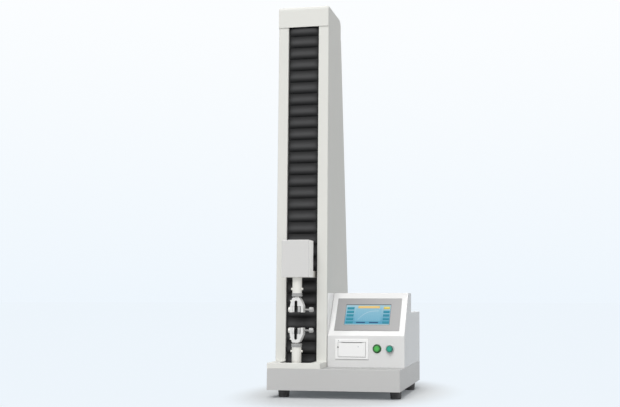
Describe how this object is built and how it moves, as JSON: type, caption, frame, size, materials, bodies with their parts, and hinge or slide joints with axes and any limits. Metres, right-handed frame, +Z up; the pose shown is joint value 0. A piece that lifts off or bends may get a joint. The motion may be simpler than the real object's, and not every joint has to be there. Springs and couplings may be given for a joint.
{
  "type": "universal testing machine",
  "caption": "Single-column bench tensile tester with screw grips, a ball-screw crosshead behind pleated bellows, and a side console with touch screen and printer.",
  "frame": {"origin": "on the standing surface, under the centre of the base", "axes": "+Z up, front towards -Y, console on the +X side"},
  "size_m": [0.45, 0.46, 1.3645],
  "materials": {
    "grey_paint": "fine satin powder coat, mid grey",
    "cream_paint": "fine satin powder coat, warm off-white",
    "white_paint": "fine satin powder coat, white",
    "cover_paint": "satin cool light grey",
    "black_rubber": "matt moulded rubber",
    "bellows_rubber": "rubber-coated pleated cloth",
    "black_steel": "black oxide",
    "grip_steel": "turned and ground steel",
    "bright_steel": "ground bearing steel",
    "cast_aluminium": "clear anodised",
    "motor_black": "black enamel",
    "overlay_film": "textured film",
    "screen_glass": "lit display under a hard film",
    "printer_plastic": "fine moulded texture",
    "bezel_metal": "polished ring",
    "green_lens": "clear lit cap",
    "teal_lens": "clear cap",
    "black_plastic": "moulded",
    "board_green": "solder mask",
    "paper_white": "smooth thermal paper",
    "zinc_steel": "zinc plated"
  },
  "bodies": {
    "frame": {"base_housing": "grey_paint", "base_bottom_plate": "zinc_steel", "base_plate": "black_steel", "front_platform": "cream_paint", "rubber_feet": "black_rubber", "foot_screws": "zinc_steel", "column_left_panel": "cream_paint", "column_right_panel": "cream_paint", "column_rear_cover": "cream_paint", "column_top_cap": "cream_paint", "column_spine": "cast_aluminium", "guide_rails": "bright_steel", "lower_screw_bearing": "black_steel", "upper_screw_bearing": "black_steel", "drive_motor": "motor_black", "timing_belt": "black_rubber", "limit_switches": "black_plastic", "upper_bellows": "bellows_rubber", "lower_bellows": "bellows_rubber", "console_housing": "white_paint", "screen_overlay": "overlay_film", "touch_screen": "screen_glass", "printer_housing": "printer_plastic", "button_bezels": "bezel_metal", "control_board": "board_green", "power_supply": "zinc_steel", "mains_inlet": "black_plastic", "cover_screws": "zinc_steel", "lower_grip_body": "grip_steel", "lower_fixed_jaw": "grip_steel", "lower_jaw_bolt": "grip_steel", "lower_rod": "grip_steel", "lower_cross_pin": "grip_steel"},
    "crosshead": {"carriage_plate": "black_steel", "bearing_blocks": "bright_steel", "nut_bracket": "cast_aluminium", "ball_nut": "bright_steel", "crosshead_arm": "grip_steel", "load_cell": "grip_steel", "load_cell_cover": "cover_paint", "upper_rod": "grip_steel", "upper_cross_pin": "grip_steel", "upper_grip_body": "grip_steel", "upper_fixed_jaw": "grip_steel", "upper_jaw_bolt": "grip_steel"},
    "lead_screw": {"ball_screw": "bright_steel", "screw_pulley": "cast_aluminium"},
    "motor_shaft": {"motor_pulley": "cast_aluminium"},
    "upper_jaw": {"upper_moving_jaw": "grip_steel"},
    "upper_clamp": {"upper_clamp_screw": "grip_steel"},
    "upper_ring": {"upper_lock_ring": "grip_steel"},
    "lower_jaw": {"lower_moving_jaw": "grip_steel"},
    "lower_clamp": {"lower_clamp_screw": "grip_steel"},
    "lower_ring": {"lower_lock_ring": "grip_steel"},
    "start_cap": {"start_button": "green_lens"},
    "stop_cap": {"stop_button": "teal_lens"},
    "door": {"printer_door": "printer_plastic"},
    "platen": {"platen_roller": "black_rubber"},
    "paper": {"paper_roll": "paper_white"},
    "rocker": {"power_rocker": "black_plastic"}
  },
  "joints": [
    {"name": "crosshead_travel", "type": "slide", "parent": "frame", "child": "crosshead", "axis": [0, 0, 1], "range_m": [-0.04, 0.72], "deforming": ["upper_bellows", "lower_bellows"]},
    {"name": "screw_turn", "type": "hinge", "parent": "frame", "child": "lead_screw", "pos_m": [-0.134, -0.048, 0.0985], "axis": [0, 0, 1], "continuous": true},
    {"name": "motor_turn", "type": "hinge", "parent": "frame", "child": "motor_shaft", "pos_m": [0.03, 0.1, 0.0985], "axis": [0, 0, 1], "continuous": true},
    {"name": "upper_jaw_slide", "type": "slide", "parent": "crosshead", "child": "upper_jaw", "axis": [1, 0, 0], "range_m": [-0.0095, 0.0025]},
    {"name": "upper_clamp_turn", "type": "hinge", "parent": "upper_jaw", "child": "upper_clamp", "pos_m": [-0.109, -0.19, 0.2929], "axis": [1, 0, 0], "range_deg": [-2280, 600]},
    {"name": "upper_ring_turn", "type": "hinge", "parent": "crosshead", "child": "upper_ring", "pos_m": [-0.134, -0.19, 0.3369], "axis": [0, 0, 1], "range_deg": [0, 180]},
    {"name": "lower_jaw_slide", "type": "slide", "parent": "frame", "child": "lower_jaw", "axis": [1, 0, 0], "range_m": [-0.0095, 0.0025]},
    {"name": "lower_clamp_turn", "type": "hinge", "parent": "lower_jaw", "child": "lower_clamp", "pos_m": [-0.109, -0.19, 0.2235], "axis": [1, 0, 0], "range_deg": [-2280, 600]},
    {"name": "lower_ring_turn", "type": "hinge", "parent": "frame", "child": "lower_ring", "pos_m": [-0.134, -0.19, 0.1795], "axis": [0, 0, 1], "range_deg": [0, 180]},
    {"name": "start_press", "type": "slide", "parent": "frame", "child": "start_cap", "axis": [0, 1, 0], "range_m": [0, 0.003], "stiffness_N_per_m": 400},
    {"name": "stop_press", "type": "slide", "parent": "frame", "child": "stop_cap", "axis": [0, 1, 0], "range_m": [0, 0.003], "stiffness_N_per_m": 400},
    {"name": "door_swing", "type": "hinge", "parent": "frame", "child": "door", "pos_m": [0.044, -0.134, 0.135], "axis": [1, 0, 0], "range_deg": [0, 90]},
    {"name": "platen_spin", "type": "hinge", "parent": "door", "child": "platen", "pos_m": [0.044, -0.126, 0.1735], "axis": [1, 0, 0], "continuous": true},
    {"name": "paper_spin", "type": "hinge", "parent": "frame", "child": "paper", "pos_m": [0.044, -0.1033, 0.1528], "axis": [1, 0, 0], "continuous": true},
    {"name": "power_switch", "type": "hinge", "parent": "frame", "child": "rocker", "pos_m": [0.165, 0.2255, 0.1985], "axis": [1, 0, 0], "range_deg": [-8, 8]}
  ],
  "couplings": [
    {"joint": "screw_turn", "follows": "crosshead_travel", "rad_per_m": -628.32},
    {"joint": "motor_turn", "follows": "crosshead_travel", "rad_per_m": -942.48},
    {"joint": "upper_clamp_turn", "follows": "upper_jaw_slide", "rad_per_m": 4188.8},
    {"joint": "lower_clamp_turn", "follows": "lower_jaw_slide", "rad_per_m": 4188.8}
  ]
}
